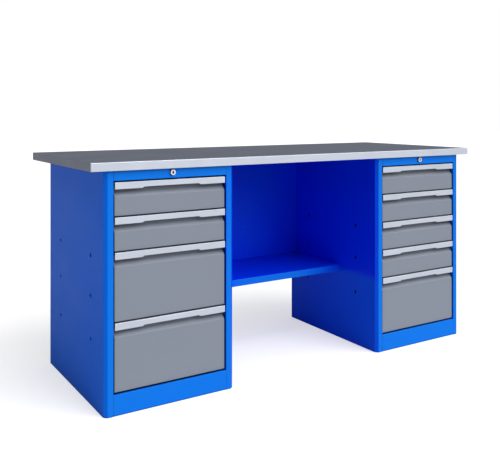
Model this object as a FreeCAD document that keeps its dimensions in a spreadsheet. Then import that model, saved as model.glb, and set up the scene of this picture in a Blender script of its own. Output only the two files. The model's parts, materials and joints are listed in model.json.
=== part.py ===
import FreeCAD, Part
import math
import os
import re

import Sketcher

# Sheet-steel workbench: a clad worktop on two drawer pedestals, with a shelf and a
# back screen between them. Millimetres, +Z up, the front faces -Y, and the origin is
# the middle of the worktop's outline on the floor.
# Pieces of a pedestal are drawn about its own place: x from its middle line, y back
# from its front plane and z up from the floor. Pieces of a drawer are drawn about the
# foot of its module in the stack.

SIZES = {
    # worktop
    "worktop_length": 1800,
    "worktop_depth": 700,
    "worktop_thick": 29,
    "bench_height": 850,
    "cladding_gauge": 1.2,
    "cladding_corner": 4,
    "cladding_edge": 0.8,
    "edge_strip": 4,
    "edge_strip_round": 2,
    "end_overhang": 51,
    "front_overhang": 12,
    # pedestal shell
    "pedestal_width": 498,
    "pedestal_depth": 615,
    "panel_gauge": 1.5,
    "bend_radius": 2,
    "corner_chamfer": 11,
    "stile_width": 32,
    "stile_return": 20,
    "back_flange": 15,
    "rail_height": 35,
    "plinth_height": 71,
    "plate_notch_gap": 0.5,
    # holes in the side panels
    "side_hole": 13,
    "side_hole_front": 135,
    "side_hole_rear": 140,
    "side_hole_low": 228,
    "side_hole_middle": 379,
    "side_hole_high": 519,
    "cable_hole": 6.5,
    "cable_hole_back": 26,
    "cable_hole_drop": 65,
    # uprights that carry the drawer slides
    "post_gap": 2,
    "post_depth": 30,
    "rear_post_back": 65,
    # drawer stack
    "stack_top_gap": 5,
    "stack_bottom_gap": 2,
    "drawer_gap": 4,
    "front_clearance": 5,
    "front_recess": 5,
    "finger_depth": 15,
    "slope_foot": 49,
    "slope_head": 31,
    "front_gauge": 1.5,
    "front_lip": 14,
    # drawer handle
    "handle_height": 23,
    "handle_gauge": 2.5,
    "handle_bevel": 0.8,
    "handle_raise": 4.2,
    "handle_raise_width": 212,
    "handle_raise_slant": 6,
    # drawer box
    "box_gauge": 1.2,
    "box_lift": 4,
    "box_rim_drop": 28,
    "box_back_gap": 33.5,
    # drawer slides
    "slide_thick": 13,
    "slide_height": 36,
    "slide_gauge": 1.5,
    "slide_play": 0.4,
    "slide_lip": 3.1,
    "slide_lip_space": 2.5,
    "slide_foot_space": 1,
    "slide_lift": 5,
    "slide_overrun": 12,
    # shelf and back screen
    "shelf_top": 327,
    "shelf_setback": 249,
    "shelf_flange": 28,
    "screen_back": 40,
    "screen_flange": 15,
    # bolts
    "bolt_diameter": 8,
    "bolt_length": 16,
    "bolt_head": 5.3,
    "bolt_flats": 13,
    "bolt_play": 0.5,
    "bolt_inset": 50,
    "screen_bolt_rise": 120,
    # how far a cutting shape runs past what it cuts
    "cut_overrun": 5,
    # lock
    "lock_face": 19,
    "lock_proud": 6.5,
    "lock_barrel": 16,
    "lock_depth": 38,
    "lock_drop": 15,
    "lock_hole_play": 0.2,
    "core_diameter": 12,
    "core_play": 0.05,
    "core_inset": 0.4,
    "cam_radius": 12,
    "cam_gauge": 3,
    "cam_gap": 1,
    "crank_radius": 8,
    "crank_pin": 4,
    "crank_pin_length": 16,
    "crank_play": 0.5,
    "keyway_width": 2.5,
    "keyway_height": 9,
    "keyway_depth": 8,
    # lock bar and the drawer catches it blocks
    "bar_gauge": 2,
    "bar_width": 16,
    "bar_gap": 2,
    "bar_foot": 24,
    "arm_height": 15,
    "arm_rise": 6,
    "arm_overrun": 3,
    "tooth_height": 7,
    "tooth_reach": 10,
    "tooth_setback": 4,
    "tooth_gap": 2.5,
    "catch_height": 10,
    "catch_gauge": 4,
    "catch_reach": 8,
    "catch_gap": 2,
}

# Two points this near each other are one.
SAME_PLACE = 0.01

# Drawer heights in modules, from the top down. The stack is six modules high.
STACKS = {"left": (1, 1, 2, 2), "right": (1, 1, 1, 1, 2)}
SIDES = {"left": -1, "right": 1}

# Formulas that several pieces share.
SHELL_TOP = "(bench_height - worktop_thick)"
PEDESTAL_X = "(worktop_length / 2 - end_overhang - pedestal_width / 2)"
FRONT_Y = "(front_overhang - worktop_depth / 2)"
WORKTOP_FRONT = "(edge_strip - worktop_depth / 2)"
GAP_HALF = "(worktop_length / 2 - end_overhang - pedestal_width)"
OPENING_HALF = "(pedestal_width / 2 - stile_width)"
INNER_HALF = "(pedestal_width / 2 - panel_gauge)"
OPENING_TOP = f"({SHELL_TOP} - rail_height)"
STACK_TOP = f"({OPENING_TOP} - stack_top_gap)"
MODULE = f"(({STACK_TOP} - plinth_height - stack_bottom_gap) / {sum(STACKS['left'])})"
FRONT_HALF = f"({OPENING_HALF} - front_clearance)"
FRONT_BACK = "(front_recess + finger_depth + front_gauge)"
BOX_HALF = f"({OPENING_HALF} - slide_thick)"
BOX_FLOOR = "(drawer_gap + box_lift)"
BOX_BACK = "(pedestal_depth - box_back_gap)"
BACK_FACE = "(pedestal_depth - 2 * panel_gauge)"
POST_FRONT = "(stile_return + post_gap)"
REAR_POST = "(pedestal_depth - rear_post_back - post_depth)"
SLIDE_LENGTH = f"({REAR_POST} + post_depth + slide_overrun - {POST_FRONT})"
SLIDE_MIDDLE = f"({BOX_FLOOR} + slide_lift + slide_height / 2)"
BAR_FRONT = f"({POST_FRONT} + post_depth + bar_gap)"
LOCK_Z = f"({SHELL_TOP} - lock_drop)"
CRANK = "(crank_radius * cos(45))"
TOOTH_FOOT = f"({SLIDE_MIDDLE} + slide_height / 2 + tooth_gap)"
CATCH_FOOT = f"({TOOTH_FOOT} + tooth_height + catch_gap)"
SCREEN_Y = "(pedestal_depth - screen_back)"
BEND = "tan(22.5)"

doc = FreeCAD.newDocument("DrawerWorkbench")
sheet = doc.addObject("Spreadsheet::Sheet", "Dims")
for row, (alias, size) in enumerate(SIZES.items(), start=1):
    sheet.set(f"A{row}", alias)
    sheet.set(f"B{row}", str(size))
    sheet.setAlias(f"B{row}", alias)
doc.recompute()

sub_parts = []


def formula(text):
    """The same formula with each named size read from the sheet."""
    return re.sub(r"[a-z]+(?:_[a-z]+)+", lambda found: "Dims." + found.group(), str(text))


def value_of(text):
    found = sheet.evalExpression(formula(text))
    return float(getattr(found, "Value", found))


def bind(item, place, text):
    item.setExpression(place, formula(text))


def bind_place(item, x="0", y="0", z="0"):
    for axis, text in zip("xyz", (x, y, z)):
        bind(item, f"Placement.Base.{axis}", text)


def sub_part(item, name):
    item.Label = name
    sub_parts.append(item)
    return item


def rectangle(left, low, right, high):
    return [(left, low), (right, low), (right, high), (left, high)]


def mirrored(corners, side):
    return [(f"{side} * ({across})", along) for across, along in corners]


def draw_outline(sketch, corners):
    """Closed outline whose every corner follows its own pair of formulas."""
    first = sketch.GeometryCount
    count = len(corners)
    points = [FreeCAD.Vector(value_of(u), value_of(v), 0) for u, v in corners]
    sketch.addGeometry([Part.LineSegment(points[i], points[(i + 1) % count]) for i in range(count)])
    rules = []
    formulas = []
    for index, point in enumerate(points):
        line = first + index
        following = first + (index + 1) % count
        rules.append(Sketcher.Constraint("Coincident", line, 2, following, 1))
        rules.append(Sketcher.Constraint("DistanceX", -1, 1, line, 1, point.x))
        rules.append(Sketcher.Constraint("DistanceY", -1, 1, line, 1, point.y))
        formulas.extend([None, *corners[index]])
    start = sketch.ConstraintCount
    sketch.addConstraint(rules)
    for number, text in enumerate(formulas, start=start):
        if text is not None:
            bind(sketch, f"Constraints[{number}]", text)


def draw_circle(sketch, across, along, diameter):
    centre = FreeCAD.Vector(value_of(across), value_of(along), 0)
    circle = Part.Circle(centre, FreeCAD.Vector(0, 0, 1), value_of(diameter) / 2)
    ring = sketch.addGeometry(circle)
    start = sketch.ConstraintCount
    sketch.addConstraint([
        Sketcher.Constraint("DistanceX", -1, 1, ring, 3, centre.x),
        Sketcher.Constraint("DistanceY", -1, 1, ring, 3, centre.y),
        Sketcher.Constraint("Diameter", ring, value_of(diameter)),
    ])
    for number, text in enumerate((across, along, diameter), start=start):
        bind(sketch, f"Constraints[{number}]", text)


def feature(body, kind, plane, start, length, outlines=(), circles=()):
    """Pad or pocket between start and start + length along the plane's own axis."""
    sketch = body.newObject("Sketcher::SketchObject", "sketch")
    origin_plane = next(item for item in body.Origin.OriginFeatures if item.Role == plane)
    sketch.AttachmentSupport = [(origin_plane, "")]
    sketch.MapMode = "FlatFace"
    # The XZ plane faces -Y, and a pocket runs against its sketch.
    flipped = plane == "XZ_Plane"
    at_far_end = (kind == "Pocket") != flipped
    level = f"{start} + {length}" if at_far_end else start
    sign = -1 if flipped else 1
    bind(sketch, "AttachmentOffset.Base.z", f"{sign} * ({level})")
    for corners in outlines:
        draw_outline(sketch, corners)
    for circle in circles:
        draw_circle(sketch, *circle)
    doc.recompute()
    made = body.newObject("PartDesign::" + kind, kind)
    made.Profile = sketch
    bind(made, "Length", length)
    sketch.Visibility = False
    doc.recompute()
    return made


def rounded(body, radius, chosen):
    """Fillet on the edges that the chosen test picks from the body's shape so far."""
    base = body.Tip
    edges = [f"Edge{i}" for i, edge in enumerate(base.Shape.Edges, start=1) if chosen(edge)]
    made = body.newObject("PartDesign::Fillet", "Fillet")
    made.Base = (base, edges)
    bind(made, "Radius", radius)
    doc.recompute()
    return made


def edges_along(axis, corners):
    """Picks the edges along one axis that stand at any of the corners across it."""
    across = [name for name in "xyz" if name != axis]
    places = [[value_of(text) for text in corner] for corner in corners]

    def chosen(edge):
        ends = edge.BoundBox
        lengths = {"x": ends.XLength, "y": ends.YLength, "z": ends.ZLength}
        if max(lengths, key=lengths.get) != axis:
            return False
        middle = [getattr(ends.Center, name) for name in across]
        return any(math.dist(middle, place) < SAME_PLACE for place in places)

    return chosen


def box(name, x, y, z, length, width, height):
    item = doc.addObject("Part::Box", name)
    bind_place(item, x, y, z)
    for side, text in (("Length", length), ("Width", width), ("Height", height)):
        bind(item, side, text)
    return item


def channel(name, corners, start, length):
    """A bar with the outline x, z run back from start."""
    sketch = doc.addObject("Sketcher::SketchObject", name + "_profile")
    sketch.Placement = FreeCAD.Placement(
        FreeCAD.Vector(), FreeCAD.Rotation(FreeCAD.Vector(1, 0, 0), 90))
    bind(sketch, "Placement.Base.y", start)
    draw_outline(sketch, corners)
    bar = doc.addObject("Part::Extrusion", name)
    bar.Base = sketch
    bar.DirMode = "Custom"
    bar.Dir = FreeCAD.Vector(0, 1, 0)
    bar.Solid = True
    bind(bar, "LengthFwd", length)
    return bar


def with_mirror(item):
    """The item and its mirror image across the middle line."""
    image = doc.addObject("Part::Mirroring", item.Name + "_mirror")
    image.Source = item
    image.Normal = FreeCAD.Vector(1, 0, 0)
    return [item, image]


def group(name, items):
    made = doc.addObject("Part::Compound", name)
    made.Links = items
    return sub_part(made, name)


# ---------------------------------------------------------------- worktop

def add_worktop():
    """Board under a folded steel skin, with a metal strip along its front edge."""
    half = "(worktop_length / 2)"
    rear = "(worktop_depth / 2)"
    skin = sub_part(doc.addObject("PartDesign::Body", "worktop_cladding"), "worktop_cladding")
    outline = rectangle(f"-{half}", WORKTOP_FRONT, half, rear)
    feature(skin, "Pad", "XY_Plane", SHELL_TOP, "worktop_thick", [outline])
    rounded(skin, "cladding_corner", edges_along("z", outline[2:]))
    top = "bench_height"
    ends = edges_along("y", [(f"-{half}", top), (half, top)])
    back = edges_along("x", [(rear, top)])
    rounded(skin, "cladding_edge", lambda edge: ends(edge) or back(edge))

    inside = rectangle(f"-({half} - cladding_gauge)", f"({WORKTOP_FRONT} + cladding_gauge)",
                       f"({half} - cladding_gauge)", f"({rear} - cladding_gauge)")
    board_thick = "(worktop_thick - cladding_gauge)"
    corner = "(cladding_corner - cladding_gauge)"
    board = sub_part(doc.addObject("PartDesign::Body", "worktop_board"), "worktop_board")
    # The board fills the skin, so the skin's hollow has the board's outline and corners.
    feature(skin, "Pocket", "XY_Plane", SHELL_TOP, board_thick, [inside])
    feature(board, "Pad", "XY_Plane", SHELL_TOP, board_thick, [inside])
    for body in (skin, board):
        rounded(body, corner, edges_along("z", inside[2:]))
    holes = []
    for side in SIDES.values():
        for across, along in worktop_bolts():
            holes.append((f"{side} * {PEDESTAL_X} + {across}", f"{FRONT_Y} + {along}",
                          "bolt_diameter + bolt_play"))
    feature(board, "Pocket", "XY_Plane", SHELL_TOP, "bolt_length", circles=holes)

    strip = sub_part(doc.addObject("PartDesign::Body", "worktop_front_edge"), "worktop_front_edge")
    front = "(-worktop_depth / 2)"
    bar = rectangle(f"-{half}", front, half, WORKTOP_FRONT)
    feature(strip, "Pad", "XY_Plane", SHELL_TOP, "worktop_thick", [bar])
    uprights = edges_along("z", bar[:2])
    front_top = edges_along("x", [(front, top)])
    rounded(strip, "edge_strip_round", lambda edge: uprights(edge) or front_top(edge))


def worktop_bolts():
    """The four bolts that hold a pedestal under the worktop."""
    across = f"({OPENING_HALF} - bolt_inset)"
    return [(f"{sign} * {across}", along)
            for sign in (-1, 1)
            for along in ("2 * bolt_inset", "(pedestal_depth - 2 * bolt_inset)")]


# ---------------------------------------------------------------- pedestal shell

def pedestal_body(name, side):
    body = sub_part(doc.addObject("PartDesign::Body", name), name)
    bind_place(body, f"{side} * {PEDESTAL_X}", FRONT_Y)
    return body


def add_side_panel(pedestal, side, hand, panel_side):
    """Side sheet folded into a chamfered front stile, and into a flange at the back."""
    half = "pedestal_width / 2"
    corners = [
        (OPENING_HALF, "stile_return"),
        (OPENING_HALF, "0"),
        (f"{half} - corner_chamfer", "0"),
        (half, "corner_chamfer"),
        (half, "pedestal_depth"),
        (f"{half} - back_flange", "pedestal_depth"),
        (f"{half} - back_flange", "pedestal_depth - panel_gauge"),
        (INNER_HALF, "pedestal_depth - panel_gauge"),
        (INNER_HALF, f"corner_chamfer + panel_gauge * {BEND}"),
        (f"{half} - corner_chamfer - panel_gauge * {BEND}", "panel_gauge"),
        (f"{OPENING_HALF} + panel_gauge", "panel_gauge"),
        (f"{OPENING_HALF} + panel_gauge", "stile_return"),
    ]
    body = pedestal_body(f"{pedestal}_pedestal_{hand}_side", side)
    outline = mirrored(corners, panel_side)
    feature(body, "Pad", "XY_Plane", "0", SHELL_TOP, [outline])
    outer_bends = outline[1:5]
    rounded(body, "bend_radius", edges_along("z", outer_bends))
    circles = [(along, height, "side_hole")
               for along in ("side_hole_front", "pedestal_depth - side_hole_rear")
               for height in ("side_hole_low", "side_hole_middle", "side_hole_high")]
    circles.append(("pedestal_depth - cable_hole_back", f"{SHELL_TOP} - cable_hole_drop", "cable_hole"))
    if side * panel_side < 0:
        # The panel that faces the other pedestal also takes the shelf and screen bolts.
        circles += [(along, height, "bolt_diameter + bolt_play") for along, height in gap_bolts()]
    start = "-(pedestal_width / 2 + panel_gauge)" if panel_side < 0 else OPENING_HALF
    feature(body, "Pocket", "YZ_Plane", start, "(stile_width + 2 * panel_gauge)", circles=circles)


def add_plate(pedestal, side, name, level, face_low, face_height, lip_low):
    """Flat plate with its front edge folded into the face between the stiles."""
    body = pedestal_body(f"{pedestal}_pedestal_{name}", side)
    notch = "(stile_return + plate_notch_gap)"
    plate = [
        (f"-{OPENING_HALF}", "0"),
        (OPENING_HALF, "0"),
        (OPENING_HALF, notch),
        (INNER_HALF, notch),
        (INNER_HALF, BACK_FACE),
        (f"-{INNER_HALF}", BACK_FACE),
        (f"-{INNER_HALF}", notch),
        (f"-{OPENING_HALF}", notch),
    ]
    width = [f"-{OPENING_HALF}", OPENING_HALF]
    feature(body, "Pad", "XY_Plane", level, "panel_gauge", [plate])
    face = rectangle(width[0], "0", width[1], "panel_gauge")
    feature(body, "Pad", "XY_Plane", face_low, face_height, [face])
    lip = rectangle(width[0], "0", width[1], "stile_return")
    feature(body, "Pad", "XY_Plane", lip_low, "panel_gauge", [lip])
    bends = [("0", face_low), ("0", f"{face_low} + {face_height}")]
    rounded(body, "bend_radius", edges_along("x", bends))
    return body


def add_shell(pedestal, side):
    for hand, panel_side in SIDES.items():
        add_side_panel(pedestal, side, hand, panel_side)
    top = add_plate(pedestal, side, "top", f"({SHELL_TOP} - panel_gauge)",
                    OPENING_TOP, "rail_height", OPENING_TOP)
    lock_hole = ("0", LOCK_Z, "lock_barrel + lock_hole_play")
    feature(top, "Pocket", "XZ_Plane", "0", "2 * panel_gauge", circles=[lock_hole])
    bolts = [(across, along, "bolt_diameter + bolt_play") for across, along in worktop_bolts()]
    feature(top, "Pocket", "XY_Plane", f"({SHELL_TOP} - 2 * panel_gauge)", "(2 * panel_gauge)",
            circles=bolts)
    add_plate(pedestal, side, "base", "(plinth_height - panel_gauge)", "0", "plinth_height", "0")
    back = pedestal_body(f"{pedestal}_pedestal_back", side)
    sheet_outline = rectangle(f"-{INNER_HALF}", BACK_FACE, INNER_HALF, f"{BACK_FACE} + panel_gauge")
    feature(back, "Pad", "XY_Plane", "0", SHELL_TOP, [sheet_outline])


def add_posts():
    """Four channels in each pedestal, open towards its sides, that the slides are fixed to."""
    posts = []
    for pedestal, side in SIDES.items():
        sketch = doc.addObject("Sketcher::SketchObject", f"{pedestal}_post_profiles")
        for hand in SIDES.values():
            for front in (POST_FRONT, REAR_POST):
                back = f"{front} + post_depth"
                corners = [
                    (INNER_HALF, front),
                    (OPENING_HALF, front),
                    (OPENING_HALF, back),
                    (INNER_HALF, back),
                    (INNER_HALF, f"{back} - panel_gauge"),
                    (f"{OPENING_HALF} + panel_gauge", f"{back} - panel_gauge"),
                    (f"{OPENING_HALF} + panel_gauge", f"{front} + panel_gauge"),
                    (INNER_HALF, f"{front} + panel_gauge"),
                ]
                draw_outline(sketch, mirrored(corners, hand))
        bind_place(sketch, f"{side} * {PEDESTAL_X}", FRONT_Y, "plinth_height")
        post = doc.addObject("Part::Extrusion", f"{pedestal}_posts")
        post.Base = sketch
        post.DirMode = "Custom"
        post.Dir = FreeCAD.Vector(0, 0, 1)
        post.Solid = True
        bind(post, "LengthFwd", f"{SHELL_TOP} - panel_gauge - plinth_height")
        posts.append(post)
    group("slide_posts", posts)


# ---------------------------------------------------------------- drawers

def module_foot(stack, number):
    """Height of the foot of a drawer's place in the stack."""
    return f"({STACK_TOP} - {sum(stack[:number])} * {MODULE})"


def fixed_slide(level):
    """Channel with turned-in lips, screwed to the posts."""
    wall = OPENING_HALF
    mouth = f"({BOX_HALF} + slide_lip_space)"
    high = "(slide_height / 2)"
    inner = "(slide_height / 2 - slide_gauge)"
    lip = "(slide_height / 2 - slide_gauge - slide_lip)"
    profile = [
        (wall, f"-{high}"),
        (mouth, f"-{high}"),
        (mouth, f"-{lip}"),
        (f"{mouth} + slide_gauge", f"-{lip}"),
        (f"{mouth} + slide_gauge", f"-{inner}"),
        (f"{wall} - slide_gauge", f"-{inner}"),
        (f"{wall} - slide_gauge", inner),
        (f"{mouth} + slide_gauge", inner),
        (f"{mouth} + slide_gauge", lip),
        (mouth, lip),
        (mouth, high),
        (wall, high),
    ]
    return [(across, f"{level} + {height}") for across, height in profile]


def moving_slide():
    """Hat section on the box's side, whose feet run behind the fixed slide's lips."""
    web = BOX_HALF
    foot = f"({BOX_HALF} + slide_lip_space + slide_gauge + slide_foot_space)"
    neck = "(slide_height / 2 - slide_gauge - slide_lip - slide_play)"
    tip = "(slide_height / 2 - slide_gauge - slide_play)"
    bore = f"({neck} - slide_gauge)"
    profile = [
        (web, f"-{neck}"),
        (foot, f"-{neck}"),
        (foot, f"-{tip}"),
        (f"{foot} + slide_gauge", f"-{tip}"),
        (f"{foot} + slide_gauge", f"-{bore}"),
        (f"{web} + slide_gauge", f"-{bore}"),
        (f"{web} + slide_gauge", bore),
        (f"{foot} + slide_gauge", bore),
        (f"{foot} + slide_gauge", tip),
        (foot, tip),
        (foot, neck),
        (web, neck),
    ]
    return [(across, f"{SLIDE_MIDDLE} + {height}") for across, height in profile]


def add_drawer(pedestal, side, number, modules, foot):
    name = f"{pedestal}_drawer_{number}"
    top = f"({modules} * {MODULE})"
    place = (f"{side} * {PEDESTAL_X}", FRONT_Y, foot)

    # Spot-welded box of a floor and four walls, with a catch on its left side for the lock bar.
    wall_height = f"({top} - box_rim_drop - {BOX_FLOOR})"
    wall = f"({BOX_HALF} - box_gauge)"
    side_sheet = box(name + "_side", wall, FRONT_BACK, BOX_FLOOR,
                     "box_gauge", f"{BOX_BACK} - {FRONT_BACK}", wall_height)
    sheets = with_mirror(side_sheet)
    for end, start in (("front_wall", FRONT_BACK), ("rear_wall", f"{BOX_BACK} - box_gauge")):
        sheets.append(box(f"{name}_{end}", f"-{wall}", start, BOX_FLOOR,
                          f"2 * {wall}", "box_gauge", wall_height))
    sheets.append(box(name + "_floor", f"-{wall}", f"{FRONT_BACK} + box_gauge", BOX_FLOOR,
                      f"2 * {wall}", f"{BOX_BACK} - {FRONT_BACK} - 2 * box_gauge", "box_gauge"))
    sheets.append(box(name + "_catch", f"-({BOX_HALF} + catch_reach)",
                      f"{BAR_FRONT} + bar_width + catch_gap", CATCH_FOOT,
                      "catch_reach", "catch_gauge", "catch_height"))
    bind_place(group(name + "_box", sheets), *place)

    # Folded front: lip, foot, face, slope of the finger recess and rear flange.
    front = sub_part(doc.addObject("PartDesign::Body", name + "_front"), name + "_front")
    bind_place(front, *place)
    slope_back = "(front_recess + finger_depth)"
    slope_foot = f"{top} - slope_foot"
    slope_head = f"{top} - slope_head"
    half_bend = "tan(atan(finger_depth / (slope_foot - slope_head)) / 2)"
    folded = [
        (FRONT_BACK, "drawer_gap"),
        ("front_recess", "drawer_gap"),
        ("front_recess", slope_foot),
        (slope_back, slope_head),
        (slope_back, f"{top} - handle_gauge"),
        (FRONT_BACK, f"{top} - handle_gauge"),
        (FRONT_BACK, f"{slope_head} - front_gauge * {half_bend}"),
        ("front_recess + front_gauge", f"{slope_foot} - front_gauge * {half_bend}"),
        ("front_recess + front_gauge", "drawer_gap + front_gauge"),
        (slope_back, "drawer_gap + front_gauge"),
        (slope_back, "drawer_gap + front_lip"),
        (FRONT_BACK, "drawer_gap + front_lip"),
    ]
    cheek = [
        ("front_recess", "drawer_gap"),
        (FRONT_BACK, "drawer_gap"),
        (FRONT_BACK, slope_head),
        (slope_back, slope_head),
        ("front_recess", slope_foot),
    ]
    feature(front, "Pad", "YZ_Plane", f"-{FRONT_HALF}", f"(2 * {FRONT_HALF})", [folded])
    for start in (f"-{FRONT_HALF}", f"({FRONT_HALF} - front_gauge)"):
        feature(front, "Pad", "YZ_Plane", start, "front_gauge", [cheek])
    rounded(front, "bend_radius", edges_along("x", folded[1:3]))

    # Angle profile that forms the grip, with its lower edge raised in the middle.
    handle = sub_part(doc.addObject("PartDesign::Body", name + "_handle"), name + "_handle")
    bind_place(handle, *place)
    angle = [
        ("0", f"{top} - handle_height"),
        ("handle_gauge", f"{top} - handle_height"),
        ("handle_gauge", f"{top} - handle_gauge"),
        (FRONT_BACK, f"{top} - handle_gauge"),
        (FRONT_BACK, top),
        ("handle_bevel", top),
        ("0", f"{top} - handle_bevel"),
    ]
    feature(handle, "Pad", "YZ_Plane", f"-{FRONT_HALF}", f"(2 * {FRONT_HALF})", [angle])
    edge = f"{top} - handle_height"
    raised = [
        ("-(handle_raise_width / 2 + handle_raise_slant)", edge),
        ("handle_raise_width / 2 + handle_raise_slant", edge),
        ("handle_raise_width / 2", f"{edge} + handle_raise"),
        ("-handle_raise_width / 2", f"{edge} + handle_raise"),
    ]
    feature(handle, "Pocket", "XZ_Plane", "0", "handle_gauge", [raised])

    runner = channel(name + "_runner", moving_slide(), POST_FRONT, SLIDE_LENGTH)
    bind_place(group(name + "_runners", with_mirror(runner)), *place)


def add_drawers(pedestal, side):
    stack = STACKS[pedestal]
    rails = []
    for number, modules in enumerate(stack, start=1):
        foot = module_foot(stack, number)
        add_drawer(pedestal, side, number, modules, foot)
        level = f"({foot} + {SLIDE_MIDDLE})"
        rail = channel(f"{pedestal}_rail_{number}", fixed_slide(level), POST_FRONT, SLIDE_LENGTH)
        rails.extend(with_mirror(rail))
    bind_place(group(f"{pedestal}_pedestal_rails", rails), f"{side} * {PEDESTAL_X}", FRONT_Y)


# ---------------------------------------------------------------- lock

def add_lock(pedestal, side):
    """Core that turns a quarter turn, and the bar that its crank pin lifts."""
    core = pedestal_body(f"{pedestal}_lock_core", side)
    front = "-(lock_proud - core_inset)"
    reach = "(lock_proud - core_inset + lock_depth + cam_gap)"
    feature(core, "Pad", "XZ_Plane", front, reach, circles=[("0", LOCK_Z, "core_diameter")])
    cam_front = "(lock_depth + cam_gap)"
    feature(core, "Pad", "XZ_Plane", cam_front, "cam_gauge", circles=[("0", LOCK_Z, "2 * cam_radius")])
    pin = (f"-{CRANK}", f"{LOCK_Z} - {CRANK}", "crank_pin")
    feature(core, "Pad", "XZ_Plane", f"({cam_front} + cam_gauge)", "crank_pin_length", circles=[pin])
    keyway = rectangle("-keyway_width / 2", f"{LOCK_Z} - keyway_height / 2",
                       "keyway_width / 2", f"{LOCK_Z} + keyway_height / 2")
    feature(core, "Pocket", "XZ_Plane", front, "keyway_depth", [keyway])

    # The arm reaches from the upright strip to the crank pin.
    name = f"{pedestal}_lock_bar"
    strip_x = f"-({OPENING_HALF} + bar_gap + bar_gauge)"
    arm_top = f"({LOCK_Z} - {CRANK} + arm_rise)"
    strip_foot = f"({module_foot(STACKS[pedestal], len(STACKS[pedestal]))} + bar_foot)"
    strip = box(name + "_strip", strip_x, BAR_FRONT, strip_foot,
                "bar_gauge", "bar_width", f"{arm_top} - {strip_foot}")
    arm = box(name + "_arm", strip_x, BAR_FRONT, f"{arm_top} - arm_height",
              f"arm_overrun - {strip_x}", "bar_gauge", "arm_height")
    pieces = [strip, arm]
    for number in range(1, len(STACKS[pedestal]) + 1):
        foot = module_foot(STACKS[pedestal], number)
        pieces.append(box(f"{name}_tooth_{number}", f"{strip_x} + bar_gauge",
                          f"{BAR_FRONT} + tooth_setback", f"{foot} + {TOOTH_FOOT}",
                          "bar_gap + tooth_reach", "bar_width - tooth_setback", "tooth_height"))
    blank = doc.addObject("Part::MultiFuse", name + "_blank")
    blank.Shapes = pieces
    slot_height = "(crank_pin + 2 * crank_play)"
    slot_left = "-(crank_radius + crank_pin / 2 + crank_play)"
    slot_right = f"(crank_pin / 2 + crank_play - {CRANK})"
    slot = box(name + "_slot", slot_left, f"{BAR_FRONT} - cut_overrun",
               f"{LOCK_Z} - {CRANK} - {slot_height} / 2",
               f"{slot_right} - ({slot_left})", "bar_gauge + 2 * cut_overrun", slot_height)
    bar = doc.addObject("Part::Cut", name)
    bar.Base = blank
    bar.Tool = slot
    sub_part(bar, name)
    bind_place(bar, f"{side} * {PEDESTAL_X}", FRONT_Y)


def add_lock_housings():
    """Barrel in the top rail with a wider face outside it; the core turns in its bore."""
    housings = []
    for pedestal, side in SIDES.items():
        shaft = doc.addObject("Part::Cylinder", f"{pedestal}_lock_barrel")
        bind(shaft, "Radius", "lock_barrel / 2")
        bind(shaft, "Height", "lock_depth")
        face = doc.addObject("Part::Cylinder", f"{pedestal}_lock_face")
        bind(face, "Radius", "lock_face / 2")
        bind(face, "Height", "lock_proud")
        bore = doc.addObject("Part::Cylinder", f"{pedestal}_lock_bore")
        bind(bore, "Radius", "core_diameter / 2 + core_play")
        bind(bore, "Height", "lock_proud + lock_depth + 2 * cut_overrun")
        backwards = FreeCAD.Rotation(FreeCAD.Vector(1, 0, 0), -90)
        for item, y in ((shaft, "0"), (face, "-lock_proud"), (bore, "-(lock_proud + cut_overrun)")):
            item.Placement = FreeCAD.Placement(FreeCAD.Vector(), backwards)
            bind_place(item, f"{side} * {PEDESTAL_X}", f"{FRONT_Y} + {y}", LOCK_Z)
        blank = doc.addObject("Part::Fuse", f"{pedestal}_lock_blank")
        blank.Base = shaft
        blank.Tool = face
        housing = doc.addObject("Part::Cut", f"{pedestal}_lock_housing")
        housing.Base = blank
        housing.Tool = bore
        housings.append(housing)
    group("lock_housings", housings)


# ---------------------------------------------------------------- shelf, screen, bolts

def gap_bolts():
    """Places of the shelf and screen bolts, back from the front plane and up."""
    shelf_middle = "(shelf_top - shelf_flange / 2)"
    screen_middle = f"({SCREEN_Y} + screen_flange / 2)"
    return [
        ("(shelf_setback + bolt_inset)", shelf_middle),
        (f"({SCREEN_Y} - 2 * bolt_inset)", shelf_middle),
        (screen_middle, "(shelf_top + screen_bolt_rise)"),
        (screen_middle, f"({SHELL_TOP} - screen_bolt_rise)"),
    ]


def add_pan(name, plane, start, depth, outline, hollow_start, hollow, bends, side_holes):
    """Sheet with all four edges folded the same way."""
    pan = sub_part(doc.addObject("PartDesign::Body", name), name)
    bind_place(pan, y=FRONT_Y)
    feature(pan, "Pad", plane, start, depth, [outline])
    rounded(pan, "bend_radius", edges_along("x", bends))
    feature(pan, "Pocket", plane, hollow_start, f"({depth} - panel_gauge)", [hollow])
    circles = [(along, height, "bolt_diameter + bolt_play") for along, height in side_holes]
    for edge in (f"-({GAP_HALF} + panel_gauge)", f"({GAP_HALF} - 2 * panel_gauge)"):
        feature(pan, "Pocket", "YZ_Plane", edge, "(3 * panel_gauge)", circles=circles)


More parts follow.
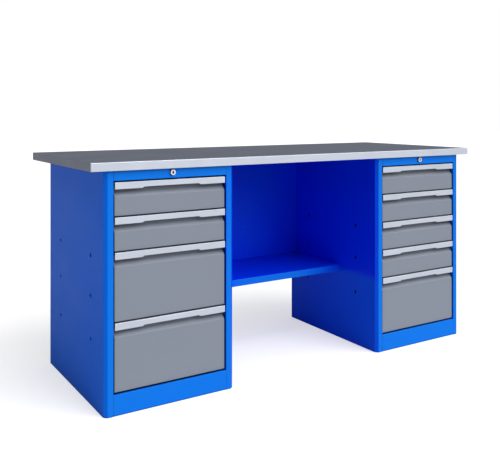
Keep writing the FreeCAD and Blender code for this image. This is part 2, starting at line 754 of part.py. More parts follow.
def add_shelf_and_screen():
    inner = f"({GAP_HALF} - panel_gauge)"
    screen_rear = f"({SCREEN_Y} + screen_flange)"
    shelf_low = "(shelf_top - shelf_flange)"
    bolts = gap_bolts()
    add_pan("shelf", "XY_Plane", shelf_low, "shelf_flange",
            rectangle(f"-{GAP_HALF}", "shelf_setback", GAP_HALF, screen_rear),
            shelf_low,
            rectangle(f"-{inner}", "shelf_setback + panel_gauge", inner, f"{screen_rear} - panel_gauge"),
            [("shelf_setback", "shelf_top"), (screen_rear, "shelf_top")],
            bolts[:2])
    add_pan("back_screen", "XZ_Plane", SCREEN_Y, "screen_flange",
            rectangle(f"-{GAP_HALF}", "shelf_top", GAP_HALF, SHELL_TOP),
            f"({SCREEN_Y} + panel_gauge)",
            rectangle(f"-{inner}", "shelf_top + panel_gauge", inner, f"{SHELL_TOP} - panel_gauge"),
            [(SCREEN_Y, "shelf_top"), (SCREEN_Y, SHELL_TOP)],
            bolts[2:])


def add_bolt(name, turn, x, y, z):
    """Hexagon bolt whose head seats at the given place; turn points its shank."""
    shank = doc.addObject("Part::Cylinder", name + "_shank")
    bind(shank, "Radius", "bolt_diameter / 2")
    bind(shank, "Height", "bolt_length")
    head = doc.addObject("Part::Prism", name + "_head")
    head.Polygon = 6
    bind(head, "Circumradius", "bolt_flats / 2 / cos(30)")
    bind(head, "Height", "bolt_head")
    bind(head, "Placement.Base.z", "-bolt_head")
    bolt = doc.addObject("Part::Fuse", name)
    bolt.Base = shank
    bolt.Tool = head
    bolt.Placement = FreeCAD.Placement(FreeCAD.Vector(), turn)
    bind_place(bolt, x, y, z)
    return bolt


def add_bolts():
    upwards = FreeCAD.Rotation()
    bolts = []
    for pedestal, side in SIDES.items():
        for number, (across, along) in enumerate(worktop_bolts(), start=1):
            bolts.append(add_bolt(f"{pedestal}_worktop_bolt_{number}", upwards,
                                  f"{side} * {PEDESTAL_X} + {across}", f"{FRONT_Y} + {along}",
                                  f"{SHELL_TOP} - panel_gauge"))
        towards_gap = FreeCAD.Rotation(FreeCAD.Vector(0, 1, 0), -90 * side)
        for number, (along, height) in enumerate(gap_bolts(), start=1):
            bolts.append(add_bolt(f"{pedestal}_gap_bolt_{number}", towards_gap,
                                  f"{side} * ({GAP_HALF} + panel_gauge)", f"{FRONT_Y} + {along}", height))
    group("frame_bolts", bolts)


# ---------------------------------------------------------------- build and write

def check_and_write():
    doc.recompute()
    failed = [item.Name for item in doc.Objects if {"Invalid", "Error"} & set(item.State)]
    if failed:
        raise RuntimeError("failed objects: " + ", ".join(failed))
    os.makedirs("parts", exist_ok=True)
    for item in sub_parts:
        shape = item.Shape
        if shape.isNull() or not shape.isValid() or not shape.Solids:
            raise RuntimeError("bad shape: " + item.Label)
    for item in sub_parts:
        item.Shape.exportStep(f"parts/{item.Label}.step")


add_worktop()
for pedestal_name, pedestal_sign in SIDES.items():
    add_shell(pedestal_name, pedestal_sign)
    add_drawers(pedestal_name, pedestal_sign)
    add_lock(pedestal_name, pedestal_sign)
add_posts()
add_lock_housings()
add_shelf_and_screen()
add_bolts()
check_and_write()
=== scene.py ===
import json
import math

import bmesh
import bpy
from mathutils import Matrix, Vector

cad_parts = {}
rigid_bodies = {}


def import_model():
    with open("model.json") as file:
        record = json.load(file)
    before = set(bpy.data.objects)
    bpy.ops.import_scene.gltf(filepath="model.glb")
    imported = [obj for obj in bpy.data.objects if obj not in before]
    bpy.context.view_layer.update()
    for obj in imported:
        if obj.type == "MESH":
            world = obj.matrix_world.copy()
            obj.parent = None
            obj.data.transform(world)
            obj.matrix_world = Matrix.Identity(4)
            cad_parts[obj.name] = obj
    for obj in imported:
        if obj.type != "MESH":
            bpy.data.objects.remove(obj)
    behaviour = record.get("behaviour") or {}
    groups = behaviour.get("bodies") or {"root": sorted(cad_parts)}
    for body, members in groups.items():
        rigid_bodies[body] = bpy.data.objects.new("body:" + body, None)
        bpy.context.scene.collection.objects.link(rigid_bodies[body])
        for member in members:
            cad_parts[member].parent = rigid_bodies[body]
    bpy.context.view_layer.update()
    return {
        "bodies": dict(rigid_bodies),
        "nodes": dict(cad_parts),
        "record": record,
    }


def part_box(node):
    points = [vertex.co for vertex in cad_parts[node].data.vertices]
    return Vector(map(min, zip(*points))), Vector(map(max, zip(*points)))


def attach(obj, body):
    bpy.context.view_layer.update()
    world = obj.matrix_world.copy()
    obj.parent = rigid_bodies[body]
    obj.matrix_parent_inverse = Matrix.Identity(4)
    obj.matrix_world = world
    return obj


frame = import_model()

# Looks of the sheet-steel workbench. Metres, in the frame's own axes.

MM = 0.001
record = frame["record"]
nodes = frame["nodes"]

# ---------------------------------------------------------------- colours

BLUE = (0.000, 0.182, 0.800)
# Painted shade: the blue paint's tones on the outer side faces and deep in the knee space, away from
# the open front.
SIDE_SHADE_BLUE = (0.000, 0.158, 0.970)
KNEE_SHADE_BLUE = (0.000, 0.034, 0.970)
# Painted shade: the blue paint's tone in a narrow gap.
GAP_SHADE_BLUE = (0.000, 0.006, 0.200)
FRONT_GREY = (0.248, 0.275, 0.332)
TOP_GREY = (0.132, 0.146, 0.186)
BOX_GREY = (0.270, 0.290, 0.325)
SATIN_METAL = (0.620, 0.665, 0.760)
ZINC = (0.560, 0.570, 0.580)
GALVANISED = (0.500, 0.520, 0.540)
CHROME = (0.940, 0.970, 1.000)
# Painted shade on the lock barrel's side.
BARREL_SHADE = (0.060, 0.062, 0.070)
# Painted shade inside the keyways and on their rims.
KEYWAY_SHADE = (0.012, 0.012, 0.014)
BOARD = (0.420, 0.290, 0.160)
FLOOR = (0.600, 0.600, 0.600)
WHITE = (1.000, 1.000, 1.000)

# Painted shade: what is left of a colour in a narrow gap.
GAP_SHADE = 0.02
# Painted light: how much lighter the worktop's end faces are drawn than its top.
END_PAINTED_LIGHT = 1.95


def shade(colour, factor):
    return tuple(min(1.0, channel * factor) for channel in colour)


def lighter(colour, share):
    return tuple(channel + (1.0 - channel) * share for channel in colour)


# ---------------------------------------------------------------- surfaces

# The run that holds nearly all of a noise's values, and the run of an even pattern.
NOISE_RUN = (0.3, 0.7)
FULL_RUN = (0.0, 1.0)
# How far a rounded edge's normal agrees with the flat face's, from worn bare to untouched.
EDGE_RUN = (0.8, 1.0)
BEVEL_SAMPLES = 4
OPENNESS_SAMPLES = 8
SOFT_EDGE = 0.8 * MM
PAINTED_EDGE = 1.2 * MM
BRUSHED_EDGE = 1.0 * MM
PAINT_WEAR = 0.12
WORKTOP_WEAR = 0.5
BRUSHED_WEAR = 0.6
# Brush lines to the metre, along and across the stroke.
STROKE, ACROSS = 12.0, 1400.0

# How far off a neighbour still closes a surface in, for the painted shade in gaps.
GAP_REACH = 16 * MM
FRONT_REACH = 30 * MM
# A drawer's box and slides get painted shade only very close in, because they are seen pulled out of
# their gap.
BOX_REACH = 10 * MM
SLIDE_REACH = 2 * MM
POST_REACH = 64 * MM
# How far off a neighbour still counts for the painted shade deep in the knee space.
KNEE_SHADE_REACH = 500 * MM
# The share of open surroundings at which the painted shade in a gap is at its darkest.
GAP_SHUT = 0.20

# How far behind the side panels' front edge the open front's tone starts to fade into the painted
# shade, and ends.
FADE_DEPTHS = (13 * MM, 38 * MM)
SHELF_FADE = 30 * MM

KNEE_SPACE = ("left_pedestal_right_side", "right_pedestal_left_side", "back_screen", "shelf")
OUTER_SIDES = ("left_pedestal_left_side", "right_pedestal_right_side")


class Surface:
    """A material built up from procedural nodes in object coordinates."""

    def __init__(self, name, **sockets):
        self.material = bpy.data.materials.new(name)
        self.material.use_nodes = True
        self.tree = self.material.node_tree
        self.shader = self.tree.nodes["Principled BSDF"]
        self.place = self.add("TexCoord").outputs["Object"]
        for socket, value in sockets.items():
            self.put(self.shader, socket.replace("_", " "), value)

    def put(self, node, socket, value):
        if isinstance(value, bpy.types.NodeSocket):
            self.tree.links.new(value, node.inputs[socket])
        elif isinstance(value, tuple) and node.inputs[socket].type == "RGBA":
            node.inputs[socket].default_value = (*value, 1.0)
        else:
            node.inputs[socket].default_value = value

    def add(self, kind, sockets=None, **settings):
        node = self.tree.nodes.new("ShaderNode" + kind)
        for key, value in settings.items():
            setattr(node, key, value)
        for socket, value in (sockets or {}).items():
            self.put(node, socket, value)
        return node

    def stretched(self, per_metre):
        """Object coordinates scaled by so many cells to the metre along each axis."""
        return self.add("Mapping", {"Vector": self.place, "Scale": per_metre}).outputs["Vector"]

    def noise(self, per_metre, detail=3.0, rough=0.5):
        if not isinstance(per_metre, tuple):
            per_metre = (per_metre,) * 3
        sockets = {"Vector": self.stretched(per_metre), "Scale": 1.0,
                   "Detail": detail, "Roughness": rough}
        return self.add("TexNoise", sockets).outputs["Fac"]

    def cells(self, per_metre, channel):
        """A random value for each cell."""
        sockets = {"Vector": self.stretched((per_metre,) * 3), "Scale": 1.0}
        colour = self.add("TexVoronoi", sockets).outputs["Color"]
        return self.add("SeparateColor", {"Color": colour}).outputs[channel]

    def span(self, value, low, high, start=0.0, end=1.0):
        """The value's run from start to end, spread over low to high."""
        sockets = {"Value": value, "From Min": start, "From Max": end, "To Min": low, "To Max": high}
        return self.add("MapRange", sockets).outputs["Result"]

    def times(self, first, second):
        return self.add("Math", {0: first, 1: second}, operation="MULTIPLY").outputs["Value"]

    def larger(self, first, second):
        return self.add("Math", {0: first, 1: second}, operation="MAXIMUM").outputs["Value"]

    def blend(self, share, first, second):
        return self.add("Mix", {0: share, 6: first, 7: second}, data_type="RGBA").outputs[2]

    def varied(self, colour, pattern, dark, light):
        """The colour drifting between two shades of itself with the pattern."""
        share = self.span(pattern, 0.0, 1.0, *NOISE_RUN)
        return self.blend(share, shade(colour, dark), shade(colour, light))

    def marked(self, tone, pattern, strength, run, mark):
        """The tone, with the mark's colour coming through where the pattern is high in the run."""
        return self.blend(self.span(pattern, 0.0, strength, *run), tone, mark)

    def normal(self):
        return self.add("NewGeometry").outputs["Normal"]

    def rounded(self, radius):
        """The normal that edges rounded to the radius would have."""
        return self.add("Bevel", {"Radius": radius}, samples=BEVEL_SAMPLES).outputs["Normal"]

    def edges(self, radius, gain):
        """The gain on a convex or concave edge and 0 on a flat, from how a rounded edge would turn."""
        both = {0: self.rounded(radius), 1: self.normal()}
        agree = self.add("VectorMath", both, operation="DOT_PRODUCT").outputs["Value"]
        return self.span(agree, gain, 0.0, *EDGE_RUN)

    def facing(self, axis, start, end):
        """1 on faces square to the axis and 0 on faces along it, with a ramp between."""
        along = self.add("SeparateXYZ", {"Vector": self.normal()}).outputs[axis]
        size = self.add("Math", {0: along}, operation="ABSOLUTE").outputs["Value"]
        return self.span(size, 0.0, 1.0, start, end)

    def openness(self, reach, shut, clear):
        """1 in the open and 0 where neighbours within reach close the surface in: the mask for painted
        shade.
        """
        looked = self.add("AmbientOcclusion", {"Distance": reach}, samples=OPENNESS_SAMPLES)
        return self.span(looked.outputs["AO"], 0.0, 1.0, shut, clear)

    def finish(self, colour, pattern, smooth, rough, run=NOISE_RUN):
        """Gives the shader its colour, and a roughness from smooth to rough with the pattern."""
        self.put(self.shader, "Base Color", colour)
        self.put(self.shader, "Roughness", self.span(pattern, smooth, rough, *run))

    def relief(self, height, depth, soft_edge=SOFT_EDGE):
        """Bump of the height, on top of edges that look rounded."""
        sockets = {"Height": height, "Distance": depth, "Strength": 1.0,
                   "Normal": self.rounded(soft_edge)}
        self.put(self.shader, "Normal", self.add("Bump", sockets).outputs["Normal"])


# ---------------------------------------------------------------- materials

def open_front(paint, low_share):
    """The mask for painted shade: 1 on what faces forwards in the open, and 0 on side faces and deep in
    the knee space.

    It is low_share or more below the shelf, where less painted shade is laid.
    """
    place = paint.add("SeparateXYZ", {"Vector": paint.place})
    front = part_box(OUTER_SIDES[0])[0].y
    fade = [front + depth for depth in FADE_DEPTHS]
    at_front = paint.span(place.outputs["Y"], 1.0, 0.0, *fade)
    clear = paint.larger(at_front, paint.openness(KNEE_SHADE_REACH, shut=0.45, clear=0.74))
    forwards = paint.times(clear, paint.facing("Y", start=0.60, end=0.95))
    shelf_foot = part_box("shelf")[0].z
    low = paint.span(place.outputs["Z"], low_share, 0.0, shelf_foot, shelf_foot + SHELF_FADE)
    return paint.larger(forwards, low)


def powder_coat(name, colour, roughness, hollow=None, low_share=0.0, gap=None,
                reach=GAP_REACH, clear=0.75):
    """Baked paint: orange-peel skin, slow drift of tone, edges rubbed a little lighter, painted shade.

    hollow is the painted shade tone away from the open front, and low_share is how much of the front's
    tone comes back below the shelf. gap is the painted shade tone in a gap. Neighbours within reach
    make a gap, and clear is the open share of the surroundings at which the painted shade is gone.
    """
    paint = Surface(name, Metallic=0.0, Specular_IOR_Level=0.07)
    drift = paint.noise(1.6, detail=2.0)
    grain = paint.noise(900.0, detail=2.0)
    patches = paint.noise(45.0, detail=5.0, rough=0.6)
    smears = paint.noise((5.0, 5.0, 9.0), detail=4.0)
    peel = paint.noise(420.0, detail=2.0, rough=0.4)
    tone = paint.varied(colour, drift, dark=0.98, light=1.02)
    tone = paint.marked(tone, grain, strength=0.35, run=(0.35, 0.75), mark=lighter(colour, 0.03))
    rubbed = paint.times(paint.edges(PAINTED_EDGE, PAINT_WEAR),
                         paint.span(patches, 0.0, 1.0, start=0.48, end=0.66))
    tone = paint.blend(rubbed, tone, lighter(colour, 0.30))
    # Painted shade: away from the open front the tone turns to the hollow tone.
    if hollow:
        tone = paint.blend(open_front(paint, low_share), hollow, tone)
    # Painted shade: gaps, and on the drawer fronts the recesses under the handles, drawn towards the
    # gap tone.
    tone = paint.blend(paint.openness(reach, GAP_SHUT, clear), gap or shade(colour, GAP_SHADE), tone)
    paint.finish(tone, smears, smooth=roughness - 0.02, rough=roughness + 0.04)
    paint.relief(peel, depth=0.030 * MM)
    return paint.material


def worktop_paint(name):
    """Grey painted steel: mottling, rubbing marks along the bench, a few scratches, and painted light
    on the end faces.
    """
    paint = Surface(name, Metallic=0.0, Specular_IOR_Level=0.22)
    mottle = paint.noise((3.5, 6.0, 6.0), detail=5.0, rough=0.6)
    streaks = paint.noise((9.0, 340.0, 340.0), detail=3.0)
    scratches = paint.noise((2.0, 1100.0, 60.0), detail=1.0)
    patches = paint.noise(30.0, detail=4.0)
    tone = paint.varied(TOP_GREY, mottle, dark=0.93, light=1.08)
    tone = paint.marked(tone, streaks, strength=0.45, run=(0.42, 0.75), mark=shade(TOP_GREY, 1.22))
    tone = paint.marked(tone, scratches, strength=0.5, run=(0.72, 0.80),
                        mark=lighter(TOP_GREY, 0.25))
    # Painted light: the end faces, square to the X axis, drawn lighter than the top.
    tone = paint.blend(paint.facing("X", start=0.3, end=0.9), tone, shade(TOP_GREY, END_PAINTED_LIGHT))
    rubbed = paint.times(paint.edges(PAINTED_EDGE, WORKTOP_WEAR), patches)
    tone = paint.blend(rubbed, tone, lighter(TOP_GREY, 0.35))
    paint.finish(tone, mottle, smooth=0.36, rough=0.50)
    paint.relief(streaks, depth=0.012 * MM)
    return paint.material


def brushed(name, colour, roughness, axis, metallic=1.0, reach=GAP_REACH):
    """Metal brushed along one axis, with painted shade in narrow gaps."""
    metal = Surface(name, Metallic=metallic)
    lines = metal.noise(tuple(STROKE if letter == axis else ACROSS for letter in "XYZ"), detail=2.0)
    cloud = metal.noise(7.0, detail=3.0)
    tone = metal.varied(colour, cloud, dark=0.96, light=1.04)
    tone = metal.marked(tone, lines, strength=0.5, run=(0.4, 0.7), mark=shade(colour, 1.10))
    tone = metal.blend(metal.edges(BRUSHED_EDGE, BRUSHED_WEAR), tone, lighter(colour, 0.5))
    # Painted shade: the metal drawn near black where neighbours close it in.
    tone = metal.blend(metal.openness(reach, GAP_SHUT, clear=0.75), shade(colour, GAP_SHADE), tone)
    metal.finish(tone, lines, smooth=roughness - 0.06, rough=roughness + 0.08)
    metal.relief(lines, depth=0.008 * MM)
    return metal.material


def zinc_plate(name):
    """Plated steel with a faint cloudy bloom."""
    metal = Surface(name, Metallic=1.0)
    bloom = metal.noise(60.0, detail=5.0, rough=0.6)
    metal.finish(metal.varied(ZINC, bloom, dark=0.85, light=1.08), bloom, smooth=0.28, rough=0.46)
    metal.relief(metal.noise(800.0, detail=2.0), depth=0.010 * MM, soft_edge=0.4 * MM)
    return metal.material


def galvanised(name):
    """Hot-dipped sheet: crystals of zinc, each with its own tone, with painted shade where neighbours
    close it in.
    """
    metal = Surface(name, Metallic=1.0)
    crystals = metal.cells(95.0, "Red")
    tone = metal.blend(crystals, shade(GALVANISED, 0.80), shade(GALVANISED, 1.15))
    # Painted shade: the sheet drawn near black within reach of neighbours, so the posts look shaded
    # through the side holes.
    within = metal.openness(POST_REACH, shut=0.25, clear=0.85)
    tone = metal.blend(within, shade(GALVANISED, GAP_SHADE), tone)
    metal.finish(tone, crystals, smooth=0.32, rough=0.52, run=FULL_RUN)
    metal.relief(metal.noise(300.0, detail=3.0), depth=0.02 * MM)
    return metal.material


def chip_board(name):
    """Pressed wood chips."""
    board = Surface(name, Specular_IOR_Level=0.2)
    chips = board.cells(420.0, "Green")
    dust = board.noise(160.0, detail=5.0)
    tone = board.blend(chips, shade(BOARD, 0.62), shade(BOARD, 1.25))
    tone = board.marked(tone, dust, strength=0.6, run=(0.4, 0.7), mark=shade(BOARD, 0.8))
    board.finish(tone, chips, smooth=0.72, rough=0.92, run=FULL_RUN)
    board.relief(board.noise(700.0, detail=3.0), depth=0.12 * MM)
    return board.material


def lock_metal(name):
    """Lock with a bright turned face, and painted shade on the barrel's side, found by which way it
    faces.
    """
    metal = Surface(name, Metallic=0.35)
    marks = metal.noise((1500.0, 60.0, 1500.0), detail=2.0)
    along = metal.add("SeparateXYZ", {"Vector": metal.normal()}).outputs["Y"]
    forwards = metal.span(along, 1.0, 0.0, start=-0.9, end=-0.5)
    face = metal.marked(CHROME, marks, strength=1.0, run=(0.4, 0.8), mark=shade(CHROME, 0.88))
    # Painted shade: the barrel's side is drawn near black.
    side = metal.blend(marks, BARREL_SHADE, shade(BARREL_SHADE, 1.8))
    metal.finish(metal.blend(forwards, side, face), marks, smooth=0.22, rough=0.38)
    metal.relief(marks, depth=0.004 * MM, soft_edge=0.5 * MM)
    return metal.material


def keyway_shade_paint(name):
    """Painted shade inside a keyway: near black, speckled."""
    metal = Surface(name, Metallic=0.0, Specular_IOR_Level=0.3)
    shade_speckle = metal.noise(1800.0, detail=3.0)
    tone = metal.blend(shade_speckle, shade(KEYWAY_SHADE, 0.6), shade(KEYWAY_SHADE, 1.6))
    metal.finish(tone, shade_speckle, smooth=0.45, rough=0.7, run=FULL_RUN)
    metal.relief(shade_speckle, depth=0.02 * MM, soft_edge=0.1 * MM)
    return metal.material


BLUE_ROUGHNESS = 0.40

slot_materials = {
    # Each of these also darkens its narrow gaps as painted shade; on the drawer fronts it reaches under
    # the handles.
    "blue_paint": powder_coat("Blue powder coat", BLUE, BLUE_ROUGHNESS, gap=GAP_SHADE_BLUE),
    "grey_paint": powder_coat("Grey powder coat", FRONT_GREY, roughness=0.38,
                               reach=FRONT_REACH, clear=0.95),
    "drawer_steel": powder_coat("Drawer box powder coat", BOX_GREY, roughness=0.42,
                                reach=BOX_REACH, clear=0.45),
    "worktop_paint": worktop_paint("Worktop paint"),
    "handle_aluminium": brushed("Brushed aluminium", SATIN_METAL, roughness=0.42, axis="X",
                                metallic=0.4),
    "slide_steel": brushed("Drawn slide steel", ZINC, roughness=0.30, axis="Y",
                           reach=SLIDE_REACH),
    "galvanised": galvanised("Galvanised sheet"),
    "board": chip_board("Particle board"),
    "lock_chrome": lock_metal("Lock metal"),
    "zinc_bolts": zinc_plate("Zinc plated bolts"),
}
# The same blue paint with painted shade: the tones it is given away from the open front.
knee_space_shaded_paint = powder_coat("Blue powder coat with painted knee-space shade", BLUE, BLUE_ROUGHNESS,
                               hollow=KNEE_SHADE_BLUE, low_share=0.42, gap=GAP_SHADE_BLUE, clear=0.46)
side_shaded_paint = powder_coat("Blue powder coat with painted side shade", BLUE, BLUE_ROUGHNESS,
                         hollow=SIDE_SHADE_BLUE, gap=GAP_SHADE_BLUE)
# Painted shade for the keyways and their rims.
keyway_shade_material = keyway_shade_paint("Keyway painted shade")

node_materials = dict.fromkeys(KNEE_SPACE, knee_space_shaded_paint)
node_materials.update(dict.fromkeys(OUTER_SIDES, side_shaded_paint))
for part in record["subparts"]:
    surfaces = nodes[part["node"]].data.materials
    surfaces.clear()
    surfaces.append(node_materials.get(part["node"], slot_materials[part["material_slot"]]))


# ---------------------------------------------------------------- mesh helpers

ROUND_SIDES = 20
OVAL_STEPS = 8


def piece(name, shape, body, material):
    """Turns the built shape into an object that rides on a body."""
    bmesh.ops.recalc_face_normals(shape, faces=shape.faces)
    mesh = bpy.data.meshes.new(name)
    shape.to_mesh(mesh)
    shape.free()
    mesh.materials.append(material)
    made = bpy.data.objects.new(name, mesh)
    bpy.context.scene.collection.objects.link(made)
    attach(made, body)


def walled(shape, first, second):
    """Joins two loops of corners by a wall of quads."""
    for step in range(len(first)):
        following = (step + 1) % len(first)
        shape.faces.new((first[step], first[following], second[following], second[step]))


def turned(shape, profile, place, direction):
    """Adds a round solid whose radius and height follow the profile, standing at place."""
    turn = direction.to_track_quat("Z", "Y").to_matrix().to_4x4()
    rings = []
    for radius, height in profile:
        ring = []
        for step in range(ROUND_SIDES):
            angle = 2 * math.pi * step / ROUND_SIDES
            corner = Vector((radius * math.cos(angle), radius * math.sin(angle), height))
            ring.append(shape.verts.new(place + turn @ corner))
        rings.append(ring)
    for lower, upper in zip(rings, rings[1:]):
        walled(shape, lower, upper)
    shape.faces.new(rings[0])
    shape.faces.new(rings[-1])


def extruded(shape, outline, start, end):
    """Adds a solid with the outline of x and z, from y = start to y = end."""
    near = [shape.verts.new((x, start, z)) for x, z in outline]
    far = [shape.verts.new((x, end, z)) for x, z in outline]
    walled(shape, near, far)
    shape.faces.new(near)
    shape.faces.new(far)


def stadium(centre, width, height):
    """Points of an upright oval with straight sides and round ends, in x and z."""
    radius = width / 2
    points = []
    for end, turn in ((1, 0.0), (-1, math.pi)):
        middle = centre.z + end * (height / 2 - radius)
        for step in range(OVAL_STEPS + 1):
            angle = turn + math.pi * step / OVAL_STEPS
            points.append((centre.x + radius * math.cos(angle), middle + radius * math.sin(angle)))
    return points


def oval_rim(shape, centre, outer, inner, front, rear):
    """Adds a flat oval washer from y = front to y = rear."""
    rings = []
    for y in (front, rear):
        for width, height in (outer, inner):
            rings.append([shape.verts.new((x, y, z)) for x, z in stadium(centre, width, height)])
    outer_front, inner_front, outer_rear, inner_rear = rings
    walled(shape, outer_front, inner_front)
    walled(shape, inner_front, inner_rear)
    walled(shape, inner_rear, outer_rear)
    walled(shape, outer_rear, outer_front)


# ---------------------------------------------------------------- drawers by pedestal

PEDESTALS = ("left", "right")


def drawers_of(pedestal):
    start = f"{pedestal}_drawer_"
    return sorted(body for body in frame["bodies"] if body.startswith(start))


def middle_of(node):
    low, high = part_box(node)
    return (low + high) / 2


# ---------------------------------------------------------------- small pieces

BOX_SHEET = 1.2 * MM
SLIDE_GAUGE = 1.5 * MM
POST_DEPTH = 30 * MM

KEYWAY_WIDTH, KEYWAY_HEIGHT = 2.3 * MM, 8.8 * MM
KEYWAY_RECESS, KEYWAY_DEPTH = 0.5 * MM, 7.0 * MM
RIM_WIDTH, RIM_HEIGHT = 6.2 * MM, 11.0 * MM
RIM_PROUD = 0.15 * MM

# Heads, as the radius and height of each ring from the seat to the middle of the top.
SCREW_HEAD = [(4.0 * MM, 0.0), (4.0 * MM, 1.1 * MM), (3.3 * MM, 1.9 * MM), (1.6 * MM, 2.2 * MM),
              (1.3 * MM, 0.8 * MM), (0.2 * MM, 0.6 * MM)]
RIVET_HEAD = [(3.2 * MM, 0.0), (3.0 * MM, 0.6 * MM), (2.1 * MM, 1.1 * MM), (0.8 * MM, 1.35 * MM)]
# Where the rivets stand along a slide.
RIVET_SHARES = (0.08, 0.5, 0.92)

HEM_WIDTH, HEM_GAUGE, HEM_INSET = 22 * MM, 0.8 * MM, 0.6 * MM


def add_keyways():
    """Warded keyway inside each lock core's slot, in an oval rim, both near black as painted shade."""
    width, height = KEYWAY_WIDTH, KEYWAY_HEIGHT
    half, ward = width / 2, width / 4
    for pedestal in PEDESTALS:
        core = f"{pedestal}_lock_core"
        low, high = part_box(core)
        x, z = (low.x + high.x) / 2, (low.z + high.z) / 2
        # Once round the keyway, with a notch in each side.
        outline = [
            (-half, -height / 2), (half, -height / 2), (half, -height / 6), (half - ward, -height / 9),
            (half - ward, height / 9), (half, height / 6), (half, height / 2), (-half, height / 2),
            (-half, height / 4), (-half + ward, height / 5), (-half + ward, 0.0), (-half, -height / 12),
        ]
        shape = bmesh.new()
        extruded(shape, [(x + u, z + v) for u, v in outline],
                 low.y + KEYWAY_RECESS, low.y + KEYWAY_DEPTH)
        oval_rim(shape, Vector((x, 0.0, z)), (RIM_WIDTH, RIM_HEIGHT), (width, height),
                 low.y - RIM_PROUD, low.y + RIM_PROUD)
        piece(f"{pedestal}_keyway", shape, f"{core}_body", keyway_shade_material)


def add_rail_screws():
    """Pan-head screws that hold the fixed slides to the posts."""
    post_low, post_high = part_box("slide_posts")
    for pedestal in PEDESTALS:
        low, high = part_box(f"{pedestal}_pedestal_rails")
        shape = bmesh.new()
        for drawer in drawers_of(pedestal):
            height = middle_of(f"{drawer}_runners").z
            for wall, towards in ((low.x + SLIDE_GAUGE, 1), (high.x - SLIDE_GAUGE, -1)):
                for along in (post_low.y + POST_DEPTH / 2, post_high.y - POST_DEPTH / 2):
                    turned(shape, SCREW_HEAD, Vector((wall, along, height)), Vector((towards, 0, 0)))
        piece(f"{pedestal}_rail_screws", shape, "frame", slot_materials["zinc_bolts"])


def add_runner_rivets():
    """Rivets that hold the moving slides to the drawer boxes, seen inside the boxes."""
    for pedestal in PEDESTALS:
        for drawer in drawers_of(pedestal):
            low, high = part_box(f"{drawer}_runners")
            centre = middle_of(f"{drawer}_handle").x
            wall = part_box(f"{drawer}_box")[1].x - centre - BOX_SHEET
            shape = bmesh.new()
            for side in (-1, 1):
                for share in RIVET_SHARES:
                    place = Vector((centre + side * wall, low.y + share * (high.y - low.y),
                                    (low.z + high.z) / 2))
                    turned(shape, RIVET_HEAD, place, Vector((-side, 0, 0)))
            piece(f"{drawer}_rivets", shape, drawer, slot_materials["zinc_bolts"])


def add_cladding_hem():
    """The worktop skin's edge, folded back under the board along the ends and the back."""
    low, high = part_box("worktop_cladding")
    left, right = low.x + HEM_INSET, high.x - HEM_INSET
    front, rear = low.y + HEM_INSET, high.y - HEM_INSET
    outline = [
        (left, front), (left + HEM_WIDTH, front), (left + HEM_WIDTH, rear - HEM_WIDTH),
        (right - HEM_WIDTH, rear - HEM_WIDTH), (right - HEM_WIDTH, front), (right, front),
        (right, rear), (left, rear),
    ]
    shape = bmesh.new()
    upper = [shape.verts.new((x, y, low.z)) for x, y in outline]
    lower = [shape.verts.new((x, y, low.z - HEM_GAUGE)) for x, y in outline]
    walled(shape, upper, lower)
    # The top and the underside are three quads each, one for each arm of the U.
    for ring in (upper, lower):
        shape.faces.new((ring[0], ring[1], ring[2], ring[7]))
        shape.faces.new((ring[2], ring[3], ring[6], ring[7]))
        shape.faces.new((ring[3], ring[4], ring[5], ring[6]))
    piece("cladding_hem", shape, "frame", slot_materials["worktop_paint"])


add_keyways()
add_rail_screws()
add_runner_rivets()
add_cladding_hem()

# ---------------------------------------------------------------- floor, light, camera

FLOOR_SIZE = 60.0
FLOOR_LIFT = 0.55
AMBIENT = 0.12
# Each lamp: degrees from the front towards the right, degrees above the floor, the angle that it
# fills in degrees, and its strength.
LAMPS = {"key": (30, 38, 60, 2.55), "overhead": (20, 78, 70, 1.4)}
CAMERA_PLACE = Vector((-1.6783, -2.5568, 1.0197))
CAMERA_HEADING = -31.93
CAMERA_LENS = 50.52
CAMERA_SHIFT = (0.0072, -0.2278)
SENSOR_WIDTH = 36.0


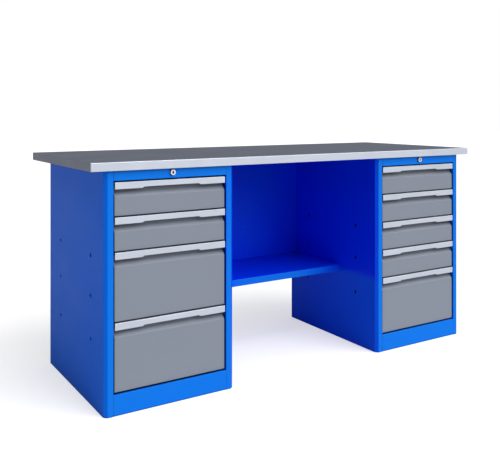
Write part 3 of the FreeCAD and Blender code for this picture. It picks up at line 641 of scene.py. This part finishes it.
def add_floor():
    """Pale floor: the camera sees it lifted towards white, and the bench gets its plain bounce."""
    paint = Surface("Pale studio floor", Specular_IOR_Level=0.0, Roughness=0.9)
    grain = paint.noise(3.0, detail=4.0)
    paint.put(paint.shader, "Base Color", paint.blend(grain, shade(FLOOR, 0.99), shade(FLOOR, 1.01)))
    paint.put(paint.shader, "Emission Color", WHITE)
    seen = paint.add("LightPath").outputs["Is Camera Ray"]
    paint.put(paint.shader, "Emission Strength", paint.times(seen, FLOOR_LIFT))
    mesh = bpy.data.meshes.new("floor")
    half = FLOOR_SIZE / 2
    corners = [(-half, -half, 0), (half, -half, 0), (half, half, 0), (-half, half, 0)]
    mesh.from_pydata(corners, [], [(0, 1, 2, 3)])
    mesh.materials.append(paint.material)
    floor = bpy.data.objects.new("floor", mesh)
    bpy.context.scene.collection.objects.link(floor)


def add_light():
    """White surroundings that light the scene only dimly, and two soft lamps at the front right."""
    world = bpy.data.worlds.new("Studio")
    world.use_nodes = True
    tree = world.node_tree
    seen = tree.nodes.new("ShaderNodeLightPath").outputs["Is Camera Ray"]
    brightness = tree.nodes.new("ShaderNodeMapRange")
    brightness.inputs["To Min"].default_value = AMBIENT
    brightness.inputs["To Max"].default_value = 1.0
    tree.links.new(seen, brightness.inputs["Value"])
    background = tree.nodes["Background"]
    background.inputs["Color"].default_value = (*WHITE, 1.0)
    tree.links.new(brightness.outputs["Result"], background.inputs["Strength"])
    bpy.context.scene.world = world
    for name, (heading, height, size, strength) in LAMPS.items():
        lamp = bpy.data.lights.new(name, "SUN")
        lamp.angle = math.radians(size)
        lamp.energy = strength
        sun = bpy.data.objects.new(name, lamp)
        sun.rotation_euler = (math.radians(90 - height), 0.0, math.radians(heading))
        bpy.context.scene.collection.objects.link(sun)


def add_camera():
    """The photograph's viewpoint: level, with the frame shifted down onto the bench."""
    lens = bpy.data.cameras.new("camera")
    lens.sensor_width = SENSOR_WIDTH
    lens.lens = CAMERA_LENS
    lens.shift_x, lens.shift_y = CAMERA_SHIFT
    camera = bpy.data.objects.new("camera", lens)
    camera.location = CAMERA_PLACE
    camera.rotation_euler = (math.radians(90), 0.0, math.radians(CAMERA_HEADING))
    bpy.context.scene.collection.objects.link(camera)
    bpy.context.scene.camera = camera


add_floor()
add_light()
add_camera()
bpy.context.scene.view_settings.view_transform = "Standard"
